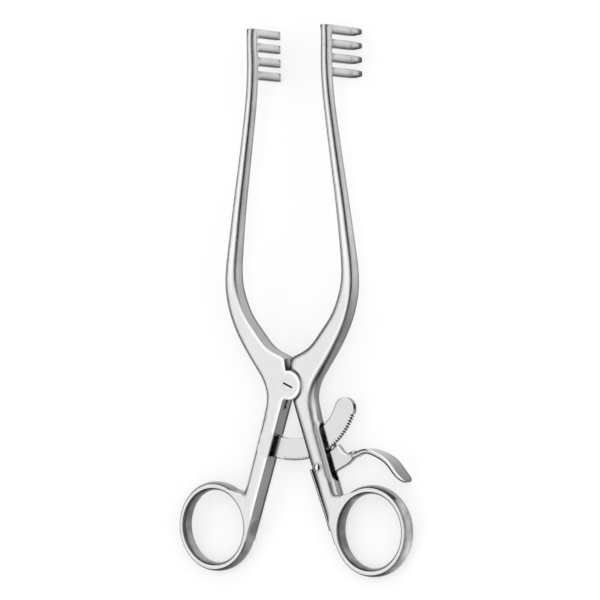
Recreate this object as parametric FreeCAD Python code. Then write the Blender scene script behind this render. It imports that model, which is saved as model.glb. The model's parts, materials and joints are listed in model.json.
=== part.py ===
import FreeCAD, Part
import math
import os
from collections import namedtuple

# Self retaining retractor with curved arms, 4 x 4 blunt prongs, ring handles, a ratchet bar
# and a spring loaded thumb release. Millimetres.
#
# The instrument is built flat in its own plane: the pivot axis is Z through the origin, +Y runs
# towards the prongs, the prongs point to -Z, and the right arm is on +X. At the end every piece
# is laid down as the instrument lies on a table, on its prong tips and the backs of its rings.

Vector = FreeCAD.Vector

# Lap joint and pivot screw
hub_thickness = 6.8
boss_radius = 5.2
boss_clearance = 0.1
lap_clearance = 0.04
notch_half_width = 0.75
notch_bottom_y = 4.4
screw_head_radius = 2.1
screw_head_height = 1.6
screw_stem_radius = 1.5
screw_running_clearance = 0.03
screw_thread_clearance = 0.01
screw_slot_width = 0.45
screw_slot_depth = 0.6
screw_slot_turn_deg = -24.0

# Shanks and finger rings
shank_thickness = 6.8
shank_inner_start = Vector(2.2, -5.4, 0)
shank_lean_deg = 18.1
shank_width = 7.5
shank_end_width = 6.6
shank_length = 47.0
shank_side_round = 2.1
shank_trim = 0.4
tail_length = 54.0
tail_width = 3.3
tail_thickness = 6.6
ring_centre = Vector(33.1, -51.7, 0)
ring_mean_radius = 14.8
ring_width_ratio = 0.943
ring_section_radial = 1.6
ring_section_height = 3.35
web_thickness = 6.68
web_start = 38.1
web_fillet_radius = 2.5
lap_slit_length = 3.2
lap_slit_width = 1.6
lap_slit_depth = 1.0

# Arms
arm_end_y = 129.0
arm_end_inner_x = 14.0
arm_end_width = 3.2
arm_end_thickness = 4.0

# Prongs
prong_count = 4
prong_pitch = 5.08
prong_width = 3.1
prong_root_inset = 0.06
prong_bend_thickness = 2.0
prong_tip_thickness = 1.4
prong_straight_depth = 16.0
prong_bend_radius = 4.5
prong_bend_deg = 60.0
prong_tip_length = 3.4

# Ratchet bar
tooth_pitch_deg = 2.4
tooth_count = 32
tooth_height = 0.8
first_tooth_deg = -7.4
bar_inner_radius = 19.4
bar_tip_radius = 27.2
bar_thickness = 2.0
bar_mid_z = -0.6
bar_end_deg = 79.0
bar_root_depth = 3.6
mortise_clearance = 0.05
mortise_front_room = 2.2
rivet_radius = 0.75
rivet_inset = 1.9
rivet_clearance = 0.01
rivet_length_past_bar = 0.3

# Slot for bar and lever in the right shank
slot_width = 4.1
slot_room_above_bar = 2.6
slot_room_below_bar = 11.1

# Release lever; its joint turns about the pin, and it is drawn just lifted out of the teeth
lever_pin_inset = 1.9
lever_pin_below_teeth = 4.4
lever_pin_radius = 0.8
lever_pin_clearance = 0.03
lever_pin_head_radius = 1.25
lever_pin_head_height = 0.5
lever_thickness = 2.2
lever_hub_radius = 1.7
lever_hub_clearance = 0.05
pawl_gap_index = 19
pawl_clearance = 0.08
pawl_lift_deg = 4.7
pawl_plate_clearance = 0.35
pawl_edge_deg = 41.2
neck_below_teeth = 7.4
neck_deg = 46.0
tail_below_pin = 3.3
tail_reach = 0.55

# Leaf spring and its screw
spring_foot_end = 48.8
spring_foot_length = 4.8
spring_length = 23.2
spring_tip_reach = 0.9
spring_thickness = 0.6
spring_width = 6.0
spring_gap = 0.14
spring_screw_radius = 0.7
spring_screw_hole_clearance = 0.15
spring_screw_head_radius = 2.4
spring_screw_head_height = 1.4
spring_screw_head_gap = 0.1
spring_screw_depth = 3.0

# The curved length of each arm is one loft of this degree, the straight shank a ruled one
loft_degree = 5

Station = namedtuple("Station", "outer inner thickness outer_round outer_depth inner_round")


def bezier(*points):
    curve = Part.BezierCurve()
    curve.setPoles(list(points))
    return curve.toShape()


def rounded_corner(start, corner, end):
    """A quarter of an ellipse from start to end, tangent to both sides that meet in corner."""
    pull = 0.5523
    return bezier(start, start + (corner - start) * pull, end + (corner - end) * pull, end)


def barrel_poles(side, corner, face):
    """Poles of a circular arc that leaves side squarely and meets face at whatever slant is left."""
    along, across = corner - side, face - corner
    depth, width = along.Length, across.Length
    radius = (width ** 2 + depth ** 2) / (2 * width)
    turn = math.asin(min(1.0, depth / radius))
    handle = 4 / 3 * math.tan(turn / 4) * radius
    leaving = along.normalize() * handle
    meeting = across.normalize() * (handle * math.sin(turn)) + leaving * math.cos(turn)
    return [side, side + leaving, face - meeting, face]


def station_wire(station):
    """Section of an arm: flat faces, a barrelled outer side and slightly rounded inner edges."""
    across = station.inner - station.outer
    width = across.Length
    across.normalize()
    half = station.thickness / 2

    def at(distance, height):
        return station.outer + across * distance + Vector(0, 0, height)

    round_o, depth_o, round_i = station.outer_round, station.outer_depth, station.inner_round
    front = barrel_poles(at(0, half - depth_o), at(0, half), at(round_o, half))
    back = barrel_poles(at(0, depth_o - half), at(0, -half), at(round_o, -half))
    front_in, back_in = at(width - round_i, half), at(width - round_i, -half)
    side_front, side_back = at(width, half - round_i), at(width, round_i - half)
    return Part.Wire([
        bezier(*front),
        Part.LineSegment(front[-1], front_in).toShape(),
        rounded_corner(front_in, at(width, half), side_front),
        Part.LineSegment(side_front, side_back).toShape(),
        rounded_corner(side_back, at(width, -half), back_in),
        Part.LineSegment(back_in, back[-1]).toShape(),
        bezier(*reversed(back)),
        Part.LineSegment(back[0], front[0]).toShape(),
    ])


def extrude_outline(edges, low_z, high_z):
    face = Part.Face(Part.Wire(edges))
    face.translate(Vector(0, 0, low_z))
    return face.extrude(Vector(0, 0, high_z - low_z))


def polygon_edges(points):
    closed = points + points[:1]
    return [Part.LineSegment(a, b).toShape() for a, b in zip(closed, closed[1:])]


def polar(radius, degrees_from_shank_side):
    """Point in the plane at a radius from the pivot, turned from -Y towards +X."""
    angle = math.radians(degrees_from_shank_side)
    return Vector(radius * math.sin(angle), -radius * math.cos(angle), 0)


def cylinder(radius, low_z, high_z, centre=Vector(0, 0, 0)):
    return Part.makeCylinder(radius, high_z - low_z, centre + Vector(0, 0, low_z))


def mirrored(shape):
    return shape.mirror(Vector(0, 0, 0), Vector(1, 0, 0))


shank_lean = math.radians(shank_lean_deg)
shank_down = Vector(math.sin(shank_lean), -math.cos(shank_lean), 0)
shank_out = Vector(math.cos(shank_lean), math.sin(shank_lean), 0)


def on_shank(distance, inset):
    """Point on the right shank: distance down its inner face, inset from that face outwards."""
    return shank_inner_start + shank_down * distance + shank_out * inset


def shank_width_at(distance):
    return shank_width + (shank_end_width - shank_width) * distance / shank_length


# Arms

def arm_stations():
    """Sections of the right arm, from the pronged end down to the finger ring."""
    end_outer = arm_end_inner_x + arm_end_width

    def station(outer_x, outer_y, inner_x, inner_y, thickness, round_o, depth_o, round_i):
        outer, inner = Vector(outer_x, outer_y, 0), Vector(inner_x, inner_y, 0)
        return Station(outer, inner, thickness, round_o, depth_o, round_i)

    stations = [
        station(end_outer, arm_end_y, arm_end_inner_x, arm_end_y, arm_end_thickness, 1.0, 1.0, 1.0),
        station(17.35, 118.0, 14.1, 118.0, 4.0, 1.0, 1.0, 1.0),
        station(17.95, 106.0, 14.5, 105.6, 4.0, 1.1, 1.1, 1.1),
        station(19.75, 92.0, 16.1, 91.4, 4.1, 1.2, 1.2, 1.2),
        station(21.9, 78.0, 18.0, 77.4, 4.3, 1.2, 1.2, 1.2),
        station(24.1, 64.0, 19.9, 63.4, 4.6, 1.2, 1.2, 1.2),
        station(26.05, 50.0, 21.5, 49.7, 5.0, 1.1, 1.1, 1.0),
        station(26.95, 42.5, 22.2, 42.7, 5.3, 1.0, 1.0, 0.8),
        station(27.15, 36.0, 22.1, 37.0, 5.6, 1.0, 1.0, 0.7),
        station(26.3, 29.7, 20.9, 31.6, 5.9, 1.0, 1.1, 0.6),
        station(23.9, 22.3, 18.1, 25.0, 6.3, 1.0, 1.2, 0.5),
        station(20.3, 15.2, 13.4, 18.6, 6.7, 1.1, 1.4, 0.4),
        station(16.2, 8.6, 7.4, 12.6, hub_thickness, 1.3, 1.8, 0.4),
        station(13.4, 4.3, 0.4, 8.9, hub_thickness, 1.5, 2.3, 0.4),
        station(11.8, 1.4, -2.4, 4.6, hub_thickness, 1.7, 2.7, 0.4),
        station(10.85, -1.5, -2.6, 0.5, hub_thickness, 1.9, 3.0, 0.4),
        station(10.5, -4.3, -1.5, -3.2, hub_thickness, 2.0, 3.2, 0.4),
        station(10.8, -7.1, 0.4, -6.4, hub_thickness, shank_side_round, 3.25, 0.4),
        station(11.5, -10.1, 2.3, -9.2, hub_thickness, shank_side_round, 3.25, 0.4),
    ]
    return stations + shank_stations()[:1]


def shank_stations():
    """Sections of the straight shank, with some metal to trim off its inner face."""
    depth = 0.48 * shank_thickness
    sizes = [
        (10.0, shank_width_at(10.0), shank_thickness),
        (web_start, shank_width_at(web_start), shank_thickness),
        (shank_length, tail_width, web_thickness),
        (tail_length, tail_width / 2, tail_thickness),
    ]
    stations = []
    for distance, width, thickness in sizes:
        outer, inner = on_shank(distance, width), on_shank(distance, -shank_trim)
        side_round = min(shank_side_round, width / 2)
        stations.append(Station(outer, inner, thickness, side_round, depth * thickness / shank_thickness, 0.2))
    return stations


def notch_cutter():
    """Space between the two arms, above and below the bosses, cut away along the lap outlines."""
    tall = hub_thickness
    far = 9.0
    vertex = Vector(1.4, 9.0, 0)
    top = [
        Vector(-far, 14.0, 0), Vector(-far, 0, 0), Vector(notch_half_width, 0, 0),
        Vector(notch_half_width, notch_bottom_y, 0), vertex, Vector(1.4, 14.0, 0),
    ]
    below = on_shank(tail_length + 5, 0)
    bottom = [
        Vector(-far, 0, 0), Vector(-far, below.y, 0), below,
        shank_inner_start, Vector(1.2, -4.6, 0), Vector(notch_half_width, -4.0, 0),
        Vector(notch_half_width, 0, 0),
    ]
    upper = extrude_outline(polygon_edges(top), -tall, tall)
    lower = extrude_outline(polygon_edges(bottom), -tall, tall)
    return upper.fuse(lower)


def lap_slit():
    """Short slit where the lap's middle plane comes out of the shank's inner face."""
    corners = [on_shank(-1.5, -1), on_shank(-1.5, lap_slit_depth),
               on_shank(lap_slit_length, lap_slit_depth), on_shank(lap_slit_length, -1)]
    return extrude_outline(polygon_edges(corners), -lap_slit_width / 2, lap_slit_width / 2)


def ring_line():
    """Middle line of the finger ring: an oval of four quarter arcs, narrower across the instrument."""
    narrowing = ring_mean_radius * (1 - ring_width_ratio)
    offset = narrowing / (2 - math.sqrt(2))
    arcs = []
    for quarter in range(4):
        middle = math.radians(90 * quarter)
        lengthways = quarter % 2 == 1
        radius = ring_mean_radius - offset if lengthways else ring_mean_radius - narrowing + offset
        shift = offset if lengthways else -offset
        centre = ring_centre + Vector(math.cos(middle), math.sin(middle), 0) * shift
        points = [
            centre + Vector(math.cos(middle + turn), math.sin(middle + turn), 0) * radius
            for turn in (-math.pi / 4, 0, math.pi / 4)
        ]
        arcs.append(Part.Arc(*points).toShape())
    return Part.Wire(arcs)


def finger_ring():
    """Ring of elliptical section, swept along its middle line."""
    line = ring_line()
    start = line.Edges[0].valueAt(line.Edges[0].FirstParameter)
    along = line.Edges[0].tangentAt(line.Edges[0].FirstParameter)
    outwards = along.cross(Vector(0, 0, 1))
    high = start + Vector(0, 0, ring_section_height)
    section = Part.Ellipse(high, start + outwards * ring_section_radial, start).toShape()
    return line.makePipe(Part.Face(Part.Wire([section])))


def ring_web():
    """Flat web between shank and ring: its free edge runs square off the shank to the ring's crest."""
    side_inset = shank_width_at(web_start) - shank_side_round + 0.1
    centre = on_shank(web_start - web_fillet_radius, side_inset + web_fillet_radius)
    on_side = centre - shank_out * web_fillet_radius
    on_edge = centre + shank_down * web_fillet_radius
    middle = centre + (shank_down - shank_out).normalize() * web_fillet_radius
    crest = ring_centre - shank_down * (ring_mean_radius + 0.2)
    in_ring = ring_centre - shank_out * (ring_mean_radius - 1)
    in_shank = on_shank(web_start - web_fillet_radius, 1.0)
    edges = [Part.Arc(on_side, middle, on_edge).toShape()]
    corners = [on_edge, crest, ring_centre, in_ring, in_shank, on_side]
    edges += [Part.LineSegment(a, b).toShape() for a, b in zip(corners, corners[1:])]
    return extrude_outline(edges, -web_thickness / 2, web_thickness / 2)


def prong_line(turn_deg, side):
    """Point on a prong's face in its bend, in the XZ plane; side is -1 inwards and +1 outwards."""
    turn = math.radians(turn_deg)
    middle_x = arm_end_inner_x + arm_end_width / 2
    centre = Vector(middle_x + prong_bend_radius, 0, -prong_straight_depth)
    thickness = prong_bend_thickness + (prong_tip_thickness - prong_bend_thickness) * turn_deg / prong_bend_deg
    radius = prong_bend_radius - side * thickness / 2
    return centre + Vector(-math.cos(turn), 0, -math.sin(turn)) * radius


def prong_tip():
    """Lowest point of a prong, in the XZ plane."""
    turn = math.radians(prong_bend_deg)
    middle = (prong_line(prong_bend_deg, -1) + prong_line(prong_bend_deg, 1)) * 0.5
    return middle + Vector(math.sin(turn), 0, -math.cos(turn)) * (prong_tip_thickness / 2)


def prong(top_y):
    """One prong of the right blade: straight down, then bent outwards to a blunt tip."""
    inner_x = arm_end_inner_x + prong_root_inset
    outer_x = arm_end_inner_x + arm_end_width - prong_root_inset
    start_in, start_out = Vector(inner_x, 0, -0.5), Vector(outer_x, 0, -0.5)
    tip = prong_tip()
    edges = [
        Part.LineSegment(start_out, start_in).toShape(),
        Part.LineSegment(start_in, prong_line(0, -1)).toShape(),
        Part.Arc(prong_line(0, -1), prong_line(prong_bend_deg / 2, -1), prong_line(prong_bend_deg, -1)).toShape(),
        Part.Arc(prong_line(prong_bend_deg, -1), tip, prong_line(prong_bend_deg, 1)).toShape(),
        Part.Arc(prong_line(prong_bend_deg, 1), prong_line(prong_bend_deg / 2, 1), prong_line(0, 1)).toShape(),
        Part.LineSegment(prong_line(0, 1), start_out).toShape(),
    ]
    face = Part.Face(Part.Wire(edges))
    face.translate(Vector(0, top_y - prong_width, 0))
    strip = face.extrude(Vector(0, prong_width, 0))
    return strip.common(prong_outline(top_y, tip.z))


def prong_outline(top_y, lowest_z):
    """Side outline of a prong with its rounded end, as a prism along X."""
    shoulder_z = lowest_z + prong_tip_length
    low_y = top_y - prong_width
    tip = Vector(0, top_y - prong_width / 2, lowest_z)
    edges = [
        Part.LineSegment(Vector(0, low_y, 1), Vector(0, low_y, shoulder_z)).toShape(),
        rounded_corner(Vector(0, low_y, shoulder_z), Vector(0, low_y, lowest_z), tip),
        rounded_corner(tip, Vector(0, top_y, lowest_z), Vector(0, top_y, shoulder_z)),
        Part.LineSegment(Vector(0, top_y, shoulder_z), Vector(0, top_y, 1)).toShape(),
        Part.LineSegment(Vector(0, top_y, 1), Vector(0, low_y, 1)).toShape(),
    ]
    return Part.Face(Part.Wire(edges)).extrude(Vector(2 * arm_end_inner_x, 0, 0))


def arm_and_shank():
    """Solid of the curved arm and the straight shank, sewn together from their skins."""
    curved = [station_wire(station) for station in arm_stations()]
    straight = [station_wire(station) for station in shank_stations()]
    arm = Part.makeLoft(curved, False, False, False, loft_degree)
    shank = Part.makeLoft(straight, False, True)
    skin = Part.makeCompound(arm.Faces + shank.Faces + [Part.Face(curved[0]), Part.Face(straight[-1])])
    skin.sewShape(0.0001)
    solid = Part.Solid(skin.Shells[0])
    if solid.Volume < 0:
        solid.reverse()
    return solid


def arm_blank():
    """The right forging before the lap is cut."""
    body = arm_and_shank().cut([notch_cutter(), lap_slit()]).fuse(ring_web())
    body = body.cut(extrude_outline(ring_line().Edges, -hub_thickness, hub_thickness))
    prongs = [prong(arm_end_y - index * prong_pitch) for index in range(prong_count)]
    return body.fuse([finger_ring()] + prongs).removeSplitter()


def with_lap(blank, boss_side):
    """Cut the recess for the other boss and add this arm's own boss; boss_side is +1 in front."""
    half = hub_thickness / 2
    recess_low, recess_high = (-half - 1, lap_clearance / 2) if boss_side > 0 else (-lap_clearance / 2, half + 1)
    boss_low, boss_high = (lap_clearance / 2, half) if boss_side > 0 else (-half, -lap_clearance / 2)
    recess = cylinder(boss_radius + boss_clearance, recess_low, recess_high)
    return blank.cut(recess).fuse(cylinder(boss_radius, boss_low, boss_high))


# Ratchet bar and lever

bar_low = bar_mid_z - bar_thickness / 2
bar_high = bar_mid_z + bar_thickness / 2
bar_root_radius = bar_tip_radius - tooth_height
pawl_plate_radius = bar_tip_radius + pawl_plate_clearance


def bar_root_deg(radius):
    """Angle at which the left shank's inner face crosses a circle about the pivot."""
    offset = shank_inner_start.cross(shank_down).z
    return -(shank_lean_deg + math.degrees(math.asin(-offset / radius)))


def bar_chord(radius):
    """Distance down the shank's inner face at which a circle about the pivot meets it."""
    along = shank_inner_start.dot(shank_down)
    square = shank_inner_start.dot(shank_inner_start) - radius ** 2
    return -along + math.sqrt(along * along - square)


def mirrored_point(point):
    return Vector(-point.x, point.y, point.z)


def ratchet_bar():
    """Toothed bar about the pivot, with its root let into the left shank."""
    inner_root = mirrored_point(on_shank(bar_chord(bar_inner_radius), bar_root_depth))
    outer_root = mirrored_point(on_shank(bar_chord(bar_tip_radius), bar_root_depth))
    inner_mouth = polar(bar_inner_radius, bar_root_deg(bar_inner_radius))
    outer_mouth = polar(bar_tip_radius, bar_root_deg(bar_tip_radius))
    last_tooth = first_tooth_deg + tooth_count * tooth_pitch_deg
    inner_end = polar(bar_inner_radius, bar_end_deg - 9)
    outer_end = polar(bar_tip_radius, last_tooth)
    end_middle = polar((bar_inner_radius + bar_tip_radius) / 2, bar_end_deg)
    edges = [
        Part.LineSegment(inner_root, inner_mouth).toShape(),
        Part.Arc(inner_mouth, polar(bar_inner_radius, 25), inner_end).toShape(),
        Part.Arc(inner_end, end_middle, outer_end).toShape(),
        Part.Arc(outer_end, polar(bar_tip_radius, 25), outer_mouth).toShape(),
        Part.LineSegment(outer_mouth, outer_root).toShape(),
        Part.LineSegment(outer_root, inner_root).toShape(),
    ]
    bar = extrude_outline(edges, bar_low, bar_high)
    gaps = [tooth_gap(first_tooth_deg + index * tooth_pitch_deg) for index in range(tooth_count)]
    return bar.cut(gaps + rivet_cylinders(rivet_radius + rivet_clearance))


def tooth_gap(degrees):
    """Slanted gap between two teeth, a three sided prism that is open outwards."""
    outside = bar_tip_radius + tooth_height / 2
    root = polar(bar_root_radius, degrees)
    steep = polar(outside, degrees + 0.38 * tooth_pitch_deg)
    slanted = polar(outside, degrees - 0.62 * tooth_pitch_deg)
    return extrude_outline(polygon_edges([root, steep, slanted]), bar_low - 1, bar_high + 1)


def rivet_cylinders(radius):
    """Two cylinders from the back of the left shank through the bar's root."""
    cylinders = []
    for along in (0.27, 0.73):
        distance = bar_chord(bar_inner_radius) * (1 - along) + bar_chord(bar_tip_radius) * along
        place = mirrored_point(on_shank(distance, rivet_inset))
        cylinders.append(cylinder(radius, -shank_thickness / 2, bar_high + rivet_length_past_bar, place))
    return cylinders


def ratchet_bar_rivets():
    return Part.makeCompound(rivet_cylinders(rivet_radius))


def pin_place():
    """Centre of the lever pin on the right shank."""
    base = on_shank(0, lever_pin_inset)
    along = base.dot(shank_down)
    square = base.dot(base) - (bar_tip_radius + lever_pin_below_teeth) ** 2
    return base + shank_down * (-along + math.sqrt(along * along - square))


pin_centre = pin_place()
pin_distance = (pin_centre - shank_inner_start).dot(shank_down)


def turned_about_pin(point, degrees):
    angle = math.radians(degrees)
    arm = point - pin_centre
    turned = Vector(arm.x * math.cos(angle) - arm.y * math.sin(angle),
                    arm.x * math.sin(angle) + arm.y * math.cos(angle), 0)
    return pin_centre + turned


def pawl_nose():
    """Three points of the pawl's nose, in a tooth gap as when the lever is let go."""
    gap = first_tooth_deg + pawl_gap_index * tooth_pitch_deg
    return [
        polar(pawl_plate_radius, gap - 0.4 * tooth_pitch_deg),
        polar(bar_root_radius + pawl_clearance, gap),
        polar(pawl_plate_radius, gap),
    ]


def by_neck(x, y):
    """Point of the lever, measured from the top of its neck."""
    return polar(bar_tip_radius + neck_below_teeth, neck_deg) + Vector(x, y, 0)


def release_lever():
    """Pawl plate with its hub in the slot, neck and curved thumb tab."""
    low = bar_mid_z - lever_thickness / 2
    high = bar_mid_z + lever_thickness / 2
    tail = pin_distance + tail_below_pin
    beside_teeth = [polar(pawl_plate_radius, degrees) for degrees in (26.0, 31.0)]
    beside_teeth += pawl_nose() + [polar(pawl_plate_radius, pawl_edge_deg)]
    points = [turned_about_pin(point, -pawl_lift_deg) for point in beside_teeth]
    hollow = bezier(points[-1], by_neck(-4.9, 1.9), by_neck(-4.0, -0.6), by_neck(-2.0, -0.3))
    rest = [
        by_neck(-2.0, -0.3), by_neck(0.6, 0.8), by_neck(1.7, -1.1), by_neck(-2.0, -4.2), by_neck(-8.2, -7.5),
        on_shank(tail + 1.4, 2.4), on_shank(tail + 1.0, -0.2), on_shank(tail + 0.3, -tail_reach),
        on_shank(tail - 0.6, -tail_reach + 0.1), on_shank(pin_distance - 1.6, 0.2), points[0],
    ]
    edges = [Part.LineSegment(a, b).toShape() for a, b in zip(points, points[1:])]
    edges += [hollow] + [Part.LineSegment(a, b).toShape() for a, b in zip(rest, rest[1:])]
    plate = extrude_outline(edges, low, high)
    hub_half = slot_width / 2 - lever_hub_clearance
    hub = cylinder(lever_hub_radius, -hub_half, hub_half, pin_centre)
    hole = cylinder(lever_pin_radius + lever_pin_clearance, -slot_width, slot_width, pin_centre)
    return plate.fuse([thumb_tab(), hub]).cut(hole)


def thumb_tab():
    """Curved strip, thin seen from the front and widening across towards its rounded end."""
    middles = [
        by_neck(0.1, -1.2), by_neck(3.4, 0.1), by_neck(6.1, 0.7), by_neck(9.9, 0.0), by_neck(13.9, -1.7),
        by_neck(16.9, -4.1), by_neck(19.0, -6.6), by_neck(21.1, -8.7), by_neck(22.5, -9.8),
    ]
    widths = [2.6, 3.4, 4.2, 5.4, 6.6, 7.2, 7.4, 6.6, 4.0]
    thicknesses = [1.7, 1.7, 1.7, 1.7, 1.7, 1.6, 1.5, 1.3, 0.9]
    sections = []
    for index, point in enumerate(middles):
        before = middles[max(index - 1, 0)]
        after = middles[min(index + 1, len(middles) - 1)]
        along = (after - before).normalize()
        up = Vector(-along.y, along.x, 0) * (thicknesses[index] / 2)
        side = Vector(0, 0, widths[index] / 2)
        middle = point + Vector(0, 0, bar_mid_z)
        corners = [middle + up + side, middle + up - side, middle - up - side, middle - up + side]
        sections.append(Part.Wire(polygon_edges(corners)))
    return Part.makeLoft(sections, True, False)


def lever_pin():
    front = shank_thickness / 2
    stem = cylinder(lever_pin_radius, 0.2 - front, front, pin_centre)
    dome = (lever_pin_head_radius ** 2 + lever_pin_head_height ** 2) / (2 * lever_pin_head_height)
    ball_centre = pin_centre + Vector(0, 0, front + lever_pin_head_height - dome)
    cap = cylinder(lever_pin_head_radius, front, front + 1, pin_centre)
    return stem.fuse(Part.makeSphere(dome, ball_centre).common(cap))


# Leaf spring

def leaf_spring():
    """Flat strip: foot against the shank, blade standing off towards the lever's tail."""
    near = [
        on_shank(spring_foot_end, -spring_gap),
        on_shank(spring_foot_end - spring_foot_length, -spring_gap),
        on_shank(spring_foot_end - spring_length, -spring_tip_reach),
    ]
    far = [point - shank_out * spring_thickness for point in reversed(near)]
    strip = extrude_outline(polygon_edges(near + far), -spring_width / 2, spring_width / 2)
    return strip.cut(spring_screw_stem(spring_screw_radius + spring_screw_hole_clearance))


def spring_screw_stem(radius):
    """Cylinder square to the shank's inner face, from outside the spring down into the shank."""
    centre = on_shank(spring_foot_end - spring_foot_length / 2, 0)
    outside = spring_gap + spring_thickness + spring_screw_head_gap
    return Part.makeCylinder(radius, outside + spring_screw_depth, centre - shank_out * outside, shank_out)


def leaf_spring_screw():
    """Screw with a domed head on the spring's foot."""
    centre = on_shank(spring_foot_end - spring_foot_length / 2, 0)
    seat = centre - shank_out * (spring_gap + spring_thickness + spring_screw_head_gap)
    radius, height = spring_screw_head_radius, spring_screw_head_height
    dome = (radius ** 2 + height ** 2) / (2 * height)
    ball = Part.makeSphere(dome, seat + shank_out * (dome - height))
    head = ball.common(Part.makeCylinder(radius + 1, height + 1, seat, shank_out * -1))
    return spring_screw_stem(spring_screw_radius).fuse(head)


# Pieces

def left_arm():
    arm = with_lap(mirrored(arm_blank()), 1)
    half = hub_thickness / 2
    seat_z = half - screw_head_height
    arm = arm.cut(cylinder(screw_stem_radius + screw_running_clearance, -1, half + 1))
    arm = arm.cut(cylinder(screw_head_radius + screw_running_clearance, seat_z, half + 1))
    top = bar_chord(bar_inner_radius) - mortise_clearance
    bottom = bar_chord(bar_tip_radius) + mortise_clearance
    depth = bar_root_depth + mortise_clearance
    corners = [on_shank(top, -2), on_shank(top, depth), on_shank(bottom, depth), on_shank(bottom, -2)]
    mortise = polygon_edges([mirrored_point(corner) for corner in corners])
    arm = arm.cut(extrude_outline(mortise, bar_low, bar_high + mortise_front_room))
    return arm.cut(rivet_cylinders(rivet_radius + rivet_clearance))


def shank_slot():
    """Slot through the shank for the ratchet bar and the lever, with round ends."""
    half = slot_width / 2
    reach = shank_width + 5
    top = bar_inner_radius - slot_room_above_bar - shank_inner_start.Length + half
    bottom = bar_tip_radius + slot_room_below_bar - shank_inner_start.Length - half
    corners = [on_shank(top, -2), on_shank(top, reach - 2), on_shank(bottom, reach - 2), on_shank(bottom, -2)]
    slot = extrude_outline(polygon_edges(corners), -half, half)
    ends = [Part.makeCylinder(half, reach, on_shank(distance, -2), shank_out) for distance in (top, bottom)]
    return slot.fuse(ends)


def right_arm():
    arm = with_lap(arm_blank(), -1)
    half = shank_thickness / 2
    arm = arm.cut(cylinder(screw_stem_radius + screw_thread_clearance, -half - 1, 1))
    arm = arm.cut(shank_slot())
    arm = arm.cut(cylinder(lever_pin_radius + screw_thread_clearance, 0.2 - half, half + 1, pin_centre))
    return arm.cut(spring_screw_stem(spring_screw_radius + screw_thread_clearance))


def pivot_screw():
    half = hub_thickness / 2
    stem = cylinder(screw_stem_radius, -half + 0.2, half - screw_head_height / 2)
    head = cylinder(screw_head_radius, half - screw_head_height + 0.02, half)
    slot = Part.makeBox(10, screw_slot_width, 2 * screw_slot_depth,
                        Vector(-5, -screw_slot_width / 2, half - screw_slot_depth))
    slot.rotate(Vector(0, 0, 0), Vector(0, 0, 1), screw_slot_turn_deg)
    return stem.fuse(head).cut(slot)


def resting_place():
    """Placement that lays the flat instrument on its prong tips and the backs of its rings."""
    tip_y = arm_end_y - (prong_count - 1) * prong_pitch - prong_width / 2
    tip_z = prong_tip().z
    ring_y = ring_centre.y - ring_mean_radius
    tilt = math.atan2(-ring_section_height - tip_z, tip_y - ring_y)
    lift = -(tip_y * math.sin(tilt) + tip_z * math.cos(tilt))
    return FreeCAD.Placement(Vector(0, 0, lift), FreeCAD.Rotation(Vector(1, 0, 0), math.degrees(tilt)))


def centred_place(shapes, place):
    """The resting place moved so that the origin is under the middle of the instrument."""
    box = FreeCAD.BoundBox()
    for shape in shapes:
        box.add(shape.transformed(place.toMatrix(), True).BoundBox)
    middle = Vector(box.Center.x, box.Center.y, 0)
    return FreeCAD.Placement(place.Base - middle, place.Rotation)


pieces = {
    "left_arm": left_arm(),
    "right_arm": right_arm(),
    "pivot_screw": pivot_screw(),
    "ratchet_bar": ratchet_bar(),
    "ratchet_bar_rivets": ratchet_bar_rivets(),
    "release_lever": release_lever(),
    "lever_pin": lever_pin(),
    "leaf_spring": leaf_spring(),
    "leaf_spring_screw": leaf_spring_screw(),
}

table_place = centred_place(pieces.values(), resting_place())
os.makedirs("parts", exist_ok=True)
for name, shape in pieces.items():
    laid = shape.transformed(table_place.toMatrix(), True)
    laid.exportStep(os.path.join("parts", name + ".step"))
    print(name, "valid" if laid.isValid() else "not valid", len(laid.Solids), round(laid.Volume, 1))
print("pivot", table_place.multVec(Vector(0, 0, 0)), "pin", table_place.multVec(pin_centre))
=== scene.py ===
import json
import math

import bpy
from mathutils import Matrix, Vector

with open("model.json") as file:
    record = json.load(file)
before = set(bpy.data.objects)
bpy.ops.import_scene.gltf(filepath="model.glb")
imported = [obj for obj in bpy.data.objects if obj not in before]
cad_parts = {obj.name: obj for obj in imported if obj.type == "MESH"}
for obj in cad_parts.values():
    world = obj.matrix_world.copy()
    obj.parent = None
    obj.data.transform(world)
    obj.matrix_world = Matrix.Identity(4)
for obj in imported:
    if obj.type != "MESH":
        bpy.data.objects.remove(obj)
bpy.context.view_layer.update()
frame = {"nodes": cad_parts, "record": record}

# The instrument's own directions: the pivot axis stands square to its plane
record = frame["record"]
joints = {joint["name"]: joint for joint in record["behaviour"]["joints"]}
mounts = {mount["name"]: Vector(mount["pos_m"]) for mount in record["mounts"]}
pivot = Vector(joints["arm_spread"]["pos_m"])
lever_axis = Vector(joints["lever_press"]["pos_m"])
up = -Vector(joints["arm_spread"]["axis"]).normalized()
right = Vector((1.0, 0.0, 0.0))
forward = up.cross(right)
plane = Matrix((right, forward, up)).transposed()

# Camera
view_lean = math.radians(32.0)
view_roll = math.radians(0.6)
view_distance = 1.2
pixels_per_metre = 2777.0
pivot_pixel = (292.6, 385.0)
image_size = 600
sensor_width = 36.0
clip_range = (0.05, 20.0)

# Floor: the white share doesn't depend on the light, as seen and as mirrored
floor_half_size = 3.0
floor_drop = 0.0002
floor_grey = 0.94
floor_roughness = 0.9
floor_white_share = 0.6

# Room: greys by the angle from overhead, in degrees, towards the instrument's right. They fade
# to the grey of the ends where the direction's part along the instrument grows.
room_span = (-90, 90)
room_greys = [
    (-90, 0.6), (-86, 0.05), (-64, 0.05), (-54, 1.0), (24, 1.0), (38, 0.35), (50, 0.35),
    (62, 1.0), (90, 0.9),
]
room_ends = (0.45, 0.8)
room_end_grey = 0.8

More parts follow.
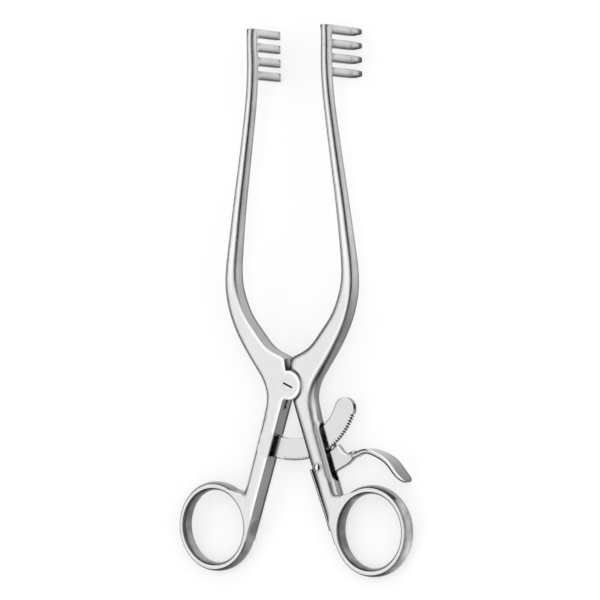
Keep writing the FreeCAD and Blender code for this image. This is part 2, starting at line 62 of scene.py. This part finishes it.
# Lamp
softbox_direction = (0.75, 0.0, 1.0)
softbox_distance = 1.4
softbox_size = 1.3
softbox_energy = 10.0

# Steel. Sizes are in metres, and places along the instrument in millimetres from the pivot
# towards the prongs. Directions are parts of unit normals, and a lean is 1 less the cosine
# between two of them. A pair gives where a smooth step is 0 and where it is 1, a pair of a tone
# gives a gain and an offset, and a span its two ends.
millimetres_per_metre = 1000.0
shader_samples = 8
black = 0.02
near_black = 0.03

# Ground surface
streak_scale = (1200.0, 60.0, 1200.0)
streak_detail = 4.0
grain_scale = 5200.0
grain_detail = 2.0
cloud_scale = 90.0
cloud_detail = 3.0
streak_tone = (0.14, 0.93)
cloud_tone = (0.06, 0.97)
side_cloud_tone = (0.5, 0.75)
streak_roughness = 0.12
scratch_streaks = 0.6
scratch_grain = 0.4
bump_strength = 0.25
bump_distance = 0.00002

# Flats and sides: the sides' greys by place, the brighter far flats and a barrelled shank's greys
# by its tilt are painted reflection
flat_tilt = (0.3, 0.8)
side_span = (-80, 140)
painted_bright_zone = (25.0, 50.0)
barrel_zone = (2.0, -10.0)
barrel_painted_greys = [
    (-1.0, 0.3), (-0.2, 0.15), (0.05, 0.2), (0.3, 0.4), (0.5, 0.85), (0.75, 0.85), (0.84, 0.5),
    (0.92, 0.2),
]

# Painted shade as a dark line and a painted highlight as a bright rim along the edges, by how far
# the rounded normal leans from the plain one
edge_reach = 0.0030
shade_reach = 0.0008
line_lean = (0.012, 0.024)
line_left = (-0.05, -0.12)
line_down = (-0.05, -0.2)
line_back = (-0.2, -0.4)
line_back_fade = 5.0
everywhere = -200.0
nowhere = 200.0
rim_lean = (0.006, 0.03)
rim_flat = (0.75, 0.95)

# Painted reflection as a dark band on the right hand edges, wider on the far part of the arms,
# with a painted glint beside it
far_zone = (20.0, 40.0)
band_start = (0.36, 0.62)
band_far_gain = 0.2
band_end = (0.84, 0.74)
band_up = (0.2, 0.4)
band_fade = 20.0
barrel_band_start = (0.12, 0.25)
barrel_band_end = (0.58, 0.42)
glint_lean = (0.05, 0.15)
glint_side = (0.5, 0.3)
glint_up = (0.3, 0.5)

# Finger rings: painted light by tilt, with a painted highlight on the crest, painted shade on the
# walls and a painted dark line
ring_zone = (0.0178, 0.0163)
ring_painted_greys = [
    (-1.0, 0.3), (-0.5, 0.12), (0.0, 0.3), (0.35, 0.24), (0.6, 0.13), (0.7, 0.2), (0.76, 1.0),
]
ring_clouds = (0.35, 0.65)
ring_cloud_tone = (0.8, 0.5)
ring_outside = (0.010, 0.014)
ring_crest = (0.68, 0.76)
ring_line_direction = forward * -0.85 - right * 0.5
ring_line_away = (0.3, 0.6)
ring_line_side = (0.8, 0.6)

# Zones without the painted edge lines and rims, about the pivot and about the hidden rivets
screw_zone = 0.0042
boss_zone = 0.0056
screw_zone_fade = 0.0002
rivet_zone = (0.0030, 0.0034)

# Painted shade in recesses, from ambient occlusion
recess_reach = 0.0025
recess_open = (0.15, 0.7)
recess_shade_tone = (0.96, 0.04)

# Painted shade of single pieces
tooth_root = (0.0261, 0.0263)
tooth_tip = (0.0271, 0.0270)
tooth_side = (0.5, 0.3)
tick_root = (0.0257, 0.0263)
crescent_start = (0.0004, 0.0007)
notch_radius = (0.0085, 0.008)
notch_height = (0.0031, 0.0029)
notch_start = (2.5, 3.0)
prong_tip_height = (-0.0174, -0.0204)
slot_turn = math.radians(-24.0)
slot_edge = (0.00037, 0.00032)
slot_end = (0.0021, 0.0019)
slot_height = (0.001, 0.0015)


def add_camera():
    """Camera of the photograph: a long lens, tilted from the pivot axis to the right."""
    data = bpy.data.cameras.new("camera")
    camera = bpy.data.objects.new("camera", data)
    bpy.context.scene.collection.objects.link(camera)
    bpy.context.scene.camera = camera
    data.sensor_width = sensor_width
    data.lens = pixels_per_metre * view_distance / image_size * sensor_width
    data.dof.use_dof = False
    data.clip_start, data.clip_end = clip_range
    across = plane @ Vector((math.cos(view_lean), 0.0, -math.sin(view_lean)))
    back = plane @ Vector((math.sin(view_lean), 0.0, math.cos(view_lean)))
    camera_right = across * math.cos(view_roll) - forward * math.sin(view_roll)
    camera_up = forward * math.cos(view_roll) + across * math.sin(view_roll)
    to_centre_x = (image_size / 2 - pivot_pixel[0]) / pixels_per_metre
    to_centre_y = (pivot_pixel[1] - image_size / 2) / pixels_per_metre
    target = pivot + camera_right * to_centre_x + camera_up * to_centre_y
    turn = Matrix((camera_right, camera_up, back)).transposed().to_4x4()
    camera.matrix_world = Matrix.Translation(target + back * view_distance) @ turn


def grey(value):
    return (value, value, value, 1.0)


class Graph:
    """Short names for the nodes and links of one node tree."""

    def __init__(self, owner):
        owner.use_nodes = True
        self.nodes = owner.node_tree.nodes
        self.links = owner.node_tree.links

    def put(self, value, socket):
        if isinstance(value, bpy.types.NodeSocket):
            self.links.new(value, socket)
        else:
            socket.default_value = value

    def node(self, kind, **values):
        made = self.nodes.new(kind)
        for key, value in values.items():
            setattr(made, key, value)
        return made

    def maths(self, operation, first, second=0.0, clamp=False):
        made = self.node("ShaderNodeMath", operation=operation, use_clamp=clamp)
        self.put(first, made.inputs[0])
        self.put(second, made.inputs[1])
        return made.outputs[0]

    def times(self, first, *others):
        for other in others:
            first = self.maths("MULTIPLY", first, other)
        return first

    def most(self, first, *others):
        for other in others:
            first = self.maths("MAXIMUM", first, other)
        return first

    def plus(self, first, second):
        return self.maths("ADD", first, second)

    def rest(self, share):
        return self.maths("SUBTRACT", 1.0, share)

    def scaled(self, value, gain, offset):
        return self.plus(self.times(value, gain), offset)

    def vector(self, operation, first, second=(0.0, 0.0, 0.0), output="Vector"):
        made = self.node("ShaderNodeVectorMath", operation=operation)
        self.put(first, made.inputs[0])
        self.put(second, made.inputs[1])
        return made.outputs[output]

    def dot(self, first, second):
        return self.vector("DOT_PRODUCT", first, second, "Value")

    def step(self, value, start, end):
        """Smooth step from 0 at start to 1 at end; start may be the greater."""
        made = self.node("ShaderNodeMapRange", interpolation_type="SMOOTHSTEP")
        self.put(value, made.inputs["Value"])
        made.inputs["From Min"].default_value = min(start, end)
        made.inputs["From Max"].default_value = max(start, end)
        made.inputs["To Min"].default_value = 0.0 if start < end else 1.0
        made.inputs["To Max"].default_value = 1.0 if start < end else 0.0
        return made.outputs["Result"]

    def ramp(self, value, low, high, stops):
        """Grey by value: stops give the value and its grey, between low and high."""
        share = self.node("ShaderNodeMapRange")
        self.put(value, share.inputs["Value"])
        share.inputs["From Min"].default_value = low
        share.inputs["From Max"].default_value = high
        made = self.node("ShaderNodeValToRGB")
        self.put(share.outputs["Result"], made.inputs["Fac"])
        elements = made.color_ramp.elements
        while len(elements) < len(stops):
            elements.new(0.5)
        for element, (place, tone) in zip(elements, stops):
            element.position = (place - low) / (high - low)
            element.color = grey(tone)
        return made.outputs["Color"]

    def mix(self, factor, first, second):
        made = self.node("ShaderNodeMix", data_type="FLOAT")
        self.put(factor, made.inputs[0])
        self.put(first, made.inputs[2])
        self.put(second, made.inputs[3])
        return made.outputs[0]

    def mix_vectors(self, factor, first, second):
        made = self.node("ShaderNodeMix", data_type="VECTOR")
        self.put(factor, made.inputs[0])
        self.put(first, made.inputs[4])
        self.put(second, made.inputs[5])
        return made.outputs[1]

    def noise(self, place, scale, detail):
        made = self.node("ShaderNodeTexNoise")
        self.put(place, made.inputs["Vector"])
        made.inputs["Scale"].default_value = scale
        made.inputs["Detail"].default_value = detail
        return made.outputs["Fac"]

    def bevel(self, width):
        made = self.node("ShaderNodeBevel", samples=shader_samples)
        made.inputs["Radius"].default_value = width
        return made.outputs["Normal"]


# Floor and light

def add_floor():
    size = floor_half_size
    mesh = bpy.data.meshes.new("floor")
    corners = [(-size, -size, 0), (size, -size, 0), (size, size, 0), (-size, size, 0)]
    mesh.from_pydata(corners, [], [(0, 1, 2, 3)])
    floor = bpy.data.objects.new("floor", mesh)
    floor.location.z = -floor_drop
    bpy.context.scene.collection.objects.link(floor)
    material = bpy.data.materials.new("floor_white")
    graph = Graph(material)
    shader = graph.nodes["Principled BSDF"]
    shader.inputs["Base Color"].default_value = grey(floor_grey)
    shader.inputs["Roughness"].default_value = floor_roughness
    shader.inputs["Specular IOR Level"].default_value = 0.0
    white = graph.node("ShaderNodeEmission")
    rays = graph.node("ShaderNodeLightPath").outputs
    seen = graph.most(rays["Is Camera Ray"], rays["Is Glossy Ray"], rays["Is Transmission Ray"])
    blend = graph.node("ShaderNodeMixShader")
    graph.put(graph.times(seen, floor_white_share), blend.inputs["Fac"])
    graph.put(shader.outputs["BSDF"], blend.inputs[1])
    graph.put(white.outputs["Emission"], blend.inputs[2])
    graph.put(blend.outputs["Shader"], graph.nodes["Material Output"].inputs["Surface"])
    mesh.materials.append(material)


def add_world():
    """Studio room of long soft boxes with a dimmer lens slot, dark low on the left."""
    world = bpy.data.worlds.new("studio")
    bpy.context.scene.world = world
    graph = Graph(world)
    ray = graph.node("ShaderNodeTexCoord").outputs["Generated"]
    around = graph.maths("ARCTAN2", graph.dot(ray, right), graph.dot(ray, up))
    stripes = graph.ramp(graph.times(around, 180 / math.pi), *room_span, room_greys)
    ends = graph.step(graph.maths("ABSOLUTE", graph.dot(ray, forward)), *room_ends)
    blend = graph.node("ShaderNodeMix", data_type="RGBA")
    graph.put(ends, blend.inputs["Factor"])
    graph.put(stripes, blend.inputs["A"])
    blend.inputs["B"].default_value = grey(room_end_grey)
    graph.put(blend.outputs["Result"], graph.nodes["Background"].inputs["Color"])


def add_softbox():
    """Square lamp that looks at the instrument from its right; steel doesn't mirror it."""
    data = bpy.data.lights.new("softbox", "AREA")
    data.size = softbox_size
    data.energy = softbox_energy
    lamp = bpy.data.objects.new("softbox", data)
    lamp.location = Vector(softbox_direction).normalized() * softbox_distance
    lamp.rotation_mode = "QUATERNION"
    lamp.rotation_quaternion = (lamp.location * -1).to_track_quat("-Z", "Y")
    lamp.visible_glossy = False
    bpy.context.scene.collection.objects.link(lamp)


# Steel

class Steel(Graph):
    """Node tree of one steel, with the measures that its grain and its painted light and shade
    share.
    """

    def __init__(self, name, reach, quiet_radius, quiet_centres, ring_centre):
        self.material = bpy.data.materials.new(name)
        super().__init__(self.material)
        coordinates = self.node("ShaderNodeTexCoord")
        self.place = coordinates.outputs["Object"]
        self.own_normal = coordinates.outputs["Normal"]
        self.plain_normal = self.node("ShaderNodeNewGeometry").outputs["Normal"]
        self.from_pivot = self.vector("SUBTRACT", self.place, pivot)
        self.from_axis = self.distance(pivot)
        self.height = self.dot(self.from_pivot, up)
        self.lengthways = self.times(self.dot(self.from_pivot, forward), millimetres_per_metre)
        self.own_up = self.dot(self.own_normal, up)

        stretched = self.vector("MULTIPLY", self.place, streak_scale)
        self.streaks = self.noise(stretched, 1.0, streak_detail)
        self.grain = self.noise(self.place, grain_scale, grain_detail)
        self.clouds = self.noise(self.place, cloud_scale, cloud_detail)

        # How far the rounded normal leans, or 0 in the zones without the painted edge lines and
        # rims.
        # Within the quiet radius about the pivot, the painted recess shade and rounded shading are
        # left out too.
        self.edge_normal = self.bevel(edge_reach * reach)
        self.shade_normal = self.bevel(shade_reach * reach)
        self.lean = self.rest(self.dot(self.edge_normal, self.plain_normal))
        self.loud = 1.0
        if quiet_radius is not None:
            self.loud = self.step(self.from_axis, quiet_radius - screw_zone_fade, quiet_radius)
            self.lean = self.times(self.lean, self.loud)
        for centre in quiet_centres:
            self.lean = self.times(self.lean, self.step(self.distance(centre), *rivet_zone))
        self.ring_centre = ring_centre
        self.ring = 0.0
        if ring_centre is not None:
            self.ring = self.step(self.distance(ring_centre), *ring_zone)
            self.lean = self.times(self.lean, self.rest(self.ring))

    def distance(self, centre):
        """Distance from the line through a centre, square to the instrument's plane."""
        across = self.vector("CROSS_PRODUCT", self.vector("SUBTRACT", self.place, centre), up)
        return self.vector("LENGTH", across, output="Value")

    def offset(self, centre):
        """Distance to the right of a centre."""
        return self.dot(self.vector("SUBTRACT", self.place, centre), right)


def grey_and_painted_reflection(steel, face, face_far, sides, barrel):
    """Grey of flats and sides with painted reflection: sides and far flats take greys by the place
    along the instrument, and a barrelled shank takes its grey from its tilt.
    """
    side = steel.ramp(steel.lengthways, *side_span, sides)
    side = steel.times(side, steel.scaled(steel.clouds, *side_cloud_tone))
    if barrel:
        barrel_tone = steel.ramp(steel.own_up, -1, 1, barrel_painted_greys)
        side = steel.mix(steel.step(steel.lengthways, *barrel_zone), side, barrel_tone)
    if face_far is not None:
        face = steel.mix(steel.step(steel.lengthways, *painted_bright_zone), face, face_far)
    flat = steel.step(steel.maths("ABSOLUTE", steel.own_up), *flat_tilt)
    return steel.mix(flat, side, face)


def ring_painted_light(steel, tone, face, ring_light):
    """Painted light on the finger ring by its tilt: a painted highlight on the crest, and walls
    darker with painted shade, with soft clouds.
    """
    wall = steel.ramp(steel.own_up, -1, 1, ring_painted_greys + [(1.0, face)])
    share = steel.scaled(steel.step(steel.clouds, *ring_clouds), *ring_cloud_tone)
    outside = steel.step(steel.offset(steel.ring_centre), *ring_outside)
    share = steel.times(share, steel.mix(outside, 1.0, ring_light))
    share = steel.mix(steel.step(steel.own_up, *ring_crest), share, 1.0)
    wall = steel.maths("MULTIPLY", wall, share, clamp=True)
    return steel.mix(steel.ring, tone, wall)


def ring_shade_line(steel):
    """Share of the painted dark line, a painted shade, on the ring's sides that face back and
    left.
    """
    away = steel.dot(steel.own_normal, ring_line_direction)
    side = steel.step(steel.own_up, *ring_line_side)
    return steel.times(steel.step(away, *ring_line_away), side, steel.ring)


def painted_edge_light_and_shade(steel, band_from, back_from, barrel):
    """
    Shares of the painted dark line, a painted shade, and of the painted bright rim, a painted
    highlight, along the edges. The line is on the edges that face left or down, from back_from
    on also on those that face back, and from band_from on it is a band of painted reflection on
    the right hand ones, with a painted glint on the far part that joins the rim.
    """
    sideways = steel.dot(steel.edge_normal, right)
    upwards = steel.dot(steel.edge_normal, up)
    left = steel.step(sideways, *line_left)
    down = steel.step(upwards, *line_down)
    back = steel.times(steel.step(steel.dot(steel.edge_normal, forward), *line_back),
                       steel.step(steel.lengthways, back_from, back_from + line_back_fade))
    line = steel.times(steel.step(steel.lean, *line_lean), steel.most(left, down, back))
    rim = steel.times(steel.step(steel.lean, *rim_lean), steel.step(steel.own_up, *rim_flat))
    if band_from is None:
        return line, rim

    far = steel.step(steel.lengthways, *far_zone)
    band = steel.step(steel.plus(sideways, steel.times(far, band_far_gain)), *band_start)
    band = steel.times(band, steel.step(sideways, *band_end))
    if barrel:
        barrel_band = steel.times(steel.step(sideways, *barrel_band_start),
                                  steel.step(sideways, *barrel_band_end))
        band = steel.mix(steel.step(steel.lengthways, *barrel_zone), band, barrel_band)
    band = steel.times(band, steel.step(upwards, *band_up), steel.rest(steel.ring),
                       steel.step(steel.lengthways, band_from, band_from + band_fade), steel.loud)
    glint = steel.times(steel.step(steel.lean, *glint_lean), steel.step(steel.own_up, *glint_side),
                        steel.step(upwards, *glint_up), far)
    return steel.most(line, band), steel.most(rim, glint)


# Painted shade of single pieces: each takes the tone and the share of the dark line, and gives the
# tone

def tooth_gap_shade(steel, tone, line):
    """Painted shade: black flanks of the teeth, and ticks where their edges carry the painted dark
    line.
    """
    gap = steel.times(steel.step(steel.from_axis, *tooth_root),
                      steel.step(steel.from_axis, *tooth_tip),
                      steel.step(steel.maths("ABSOLUTE", steel.own_up), *tooth_side))
    ticks = steel.times(line, steel.step(steel.from_axis, *tick_root))
    return steel.mix(steel.most(gap, ticks), tone, black)


def pin_crescent_shade(steel, tone, line):
    """Painted shade on the right side of the pin's dome."""
    crescent = steel.step(steel.offset(lever_axis), *crescent_start)
    return steel.mix(crescent, tone, near_black)


def notch_shade(steel, tone, line):
    """Dark floor of the notch, next to the boss on the side of the prongs."""
    deep = steel.times(steel.step(steel.from_axis, *notch_radius),
                       steel.step(steel.height, *notch_height),
                       steel.step(steel.lengthways, *notch_start))
    return steel.mix(deep, tone, near_black)


def prong_tip_shade(steel, tone, line):
    """Dark tips of the prongs, far below the pivot."""
    return steel.mix(steel.step(steel.height, *prong_tip_height), tone, near_black)


def screw_slot_shade(steel, tone, line):
    """Painted shade: black in the slot across the head."""
    across = up.cross(right * math.cos(slot_turn) + forward * math.sin(slot_turn))
    from_slot = steel.maths("ABSOLUTE", steel.dot(steel.from_pivot, across))
    slot = steel.times(steel.step(from_slot, *slot_edge), steel.step(steel.from_axis, *slot_end),
                       steel.step(steel.height, *slot_height))
    return steel.mix(slot, tone, black)


def make_steel(name, face, sides, roughness, face_far=None, ring_centre=None, ring_light=1.0,
               band_from=None, back_from=everywhere, barrel=False, marks=(), line_share=0.97,
               rim_share=1.0, quiet_radius=None, quiet_centres=(), reach=1.0):
    """
    Satin ground steel: streaks and fine grain, flats of one grey or brighter far ones, and sides
    of greys by the place along the instrument, the far flats and the sides being painted
    reflection. Edges carry a painted dark line of shade and a painted highlight rim beside it,
    and recesses are darkened with painted shade. Reach scales how far edges and recesses show.
    """
    steel = Steel(name, reach, quiet_radius, quiet_centres, ring_centre)
    line, rim = painted_edge_light_and_shade(steel, band_from, back_from, barrel)
    tone = grey_and_painted_reflection(steel, face, face_far, sides, barrel)
    if ring_centre is not None:
        tone = ring_painted_light(steel, tone, face, ring_light)
        line = steel.most(line, ring_shade_line(steel))
    tone = steel.times(tone, steel.scaled(steel.streaks, *streak_tone))
    tone = steel.times(tone, steel.scaled(steel.clouds, *cloud_tone))
    tone = steel.mix(steel.times(rim, rim_share), tone, 1.0)
    tone = steel.mix(steel.times(line, line_share), tone, black)
    for mark in marks:
        tone = mark(steel, tone, line)

    # Painted shade: recesses darkened by ambient occlusion
    recess = steel.node("ShaderNodeAmbientOcclusion", samples=shader_samples)
    recess.inputs["Distance"].default_value = recess_reach * reach
    open_share = steel.most(steel.step(recess.outputs["AO"], *recess_open), steel.rest(steel.loud))
    tone = steel.times(tone, steel.scaled(open_share, *recess_shade_tone))
    colour = steel.node("ShaderNodeCombineColor")
    for channel in ("Red", "Green", "Blue"):
        steel.put(tone, colour.inputs[channel])

    scratches = steel.plus(steel.times(steel.streaks, scratch_streaks),
                           steel.times(steel.grain, scratch_grain))
    bump = steel.node("ShaderNodeBump")
    bump.inputs["Strength"].default_value = bump_strength
    bump.inputs["Distance"].default_value = bump_distance
    steel.put(scratches, bump.inputs["Height"])
    rounded = steel.mix_vectors(steel.loud, steel.plain_normal, steel.shade_normal)
    steel.put(rounded, bump.inputs["Normal"])

    shader = steel.nodes["Principled BSDF"]
    shader.inputs["Metallic"].default_value = 1.0
    steel.put(colour.outputs["Color"], shader.inputs["Base Color"])
    steel.put(steel.scaled(steel.streaks, streak_roughness, roughness - streak_roughness / 2),
              shader.inputs["Roughness"])
    steel.put(bump.outputs["Normal"], shader.inputs["Normal"])
    return steel.material


def rivet_centres():
    """The middles of the two rivets, whose hidden holes must not mark the arm's face."""
    rivets = frame["nodes"]["ratchet_bar_rivets"]
    points = [rivets.matrix_world @ vertex.co for vertex in rivets.data.vertices]
    middle = sum((point.dot(forward) for point in points), 0.0) / len(points)
    centres = []
    for side in (-1, 1):
        part = [point for point in points if (point.dot(forward) - middle) * side > 0]
        centres.append(sum(part, Vector((0.0, 0.0, 0.0))) / len(part))
    return centres


def dress(material, *names):
    for name in names:
        mesh = frame["nodes"][name].data
        if len(mesh.materials) == 0:
            mesh.materials.append(material)
        for index in range(len(mesh.materials)):
            mesh.materials[index] = material


def dress_pieces():
    """Gives each piece its steel. The sides are greys by the place along the instrument, as
    painted reflection.
    """
    left_sides = [
        (-70, 0.2), (-50, 0.24), (-8, 0.26), (0, 0.36), (30, 0.42), (60, 0.44), (98, 0.46),
        (108, 0.6),
    ]
    right_sides = [
        (-70, 0.24), (-40, 0.3), (-8, 0.2), (22, 0.2), (40, 0.5), (60, 0.6), (98, 0.5),
        (108, 0.6),
    ]
    lever_sides = [(-38, 0.05), (-35, 0.14), (-29, 0.3), (-19, 0.55)]
    small_sides = [(0, 0.3)]
    spring_shade_sides = [(0, 0.08)]
    dress(make_steel("satin_left_arm_painted_light", face=0.80, face_far=1.0, sides=left_sides, roughness=0.24,
                     ring_centre=mounts["left_finger_ring"], band_from=20.0, back_from=90.0,
                     quiet_radius=screw_zone, quiet_centres=rivet_centres()),
          "left_arm")
    dress(make_steel("satin_right_arm_painted_light", face=0.80, face_far=1.0, sides=right_sides, roughness=0.24,
                     ring_centre=mounts["right_finger_ring"], ring_light=2.2, barrel=True,
                     band_from=-60.0, back_from=90.0, quiet_radius=boss_zone,
                     marks=(notch_shade, prong_tip_shade)),
          "right_arm", "ratchet_bar_rivets")
    dress(make_steel("satin_bar_painted_light", face=0.74, sides=small_sides, roughness=0.18, reach=0.4,
                     back_from=nowhere, line_share=0.4, rim_share=0.2, marks=(tooth_gap_shade,)),
          "ratchet_bar")
    dress(make_steel("satin_lever_painted_light", face=0.70, sides=lever_sides, roughness=0.2, reach=0.5),
          "release_lever")
    dress(make_steel("ground_pivot_screw_painted_light", face=0.80, sides=small_sides, roughness=0.24,
                     quiet_radius=screw_zone, marks=(screw_slot_shade,)),
          "pivot_screw")
    dress(make_steel("ground_pin_painted_light", face=0.95, sides=small_sides, roughness=0.2, reach=0.1,
                     marks=(pin_crescent_shade,)),
          "lever_pin")
    dress(make_steel("ground_screw_painted_light", face=0.80, sides=small_sides, roughness=0.2, reach=0.1),
          "leaf_spring_screw")
    # The leaf spring's near black grey is painted shadow of the gap between the leaf and the shank
    dress(make_steel("spring_painted_shade", face=0.12, sides=spring_shade_sides, roughness=0.2, reach=0.2),
          "leaf_spring")


add_camera()
add_floor()
add_world()
add_softbox()
dress_pieces()

scene = bpy.context.scene
scene.view_settings.view_transform = "Standard"
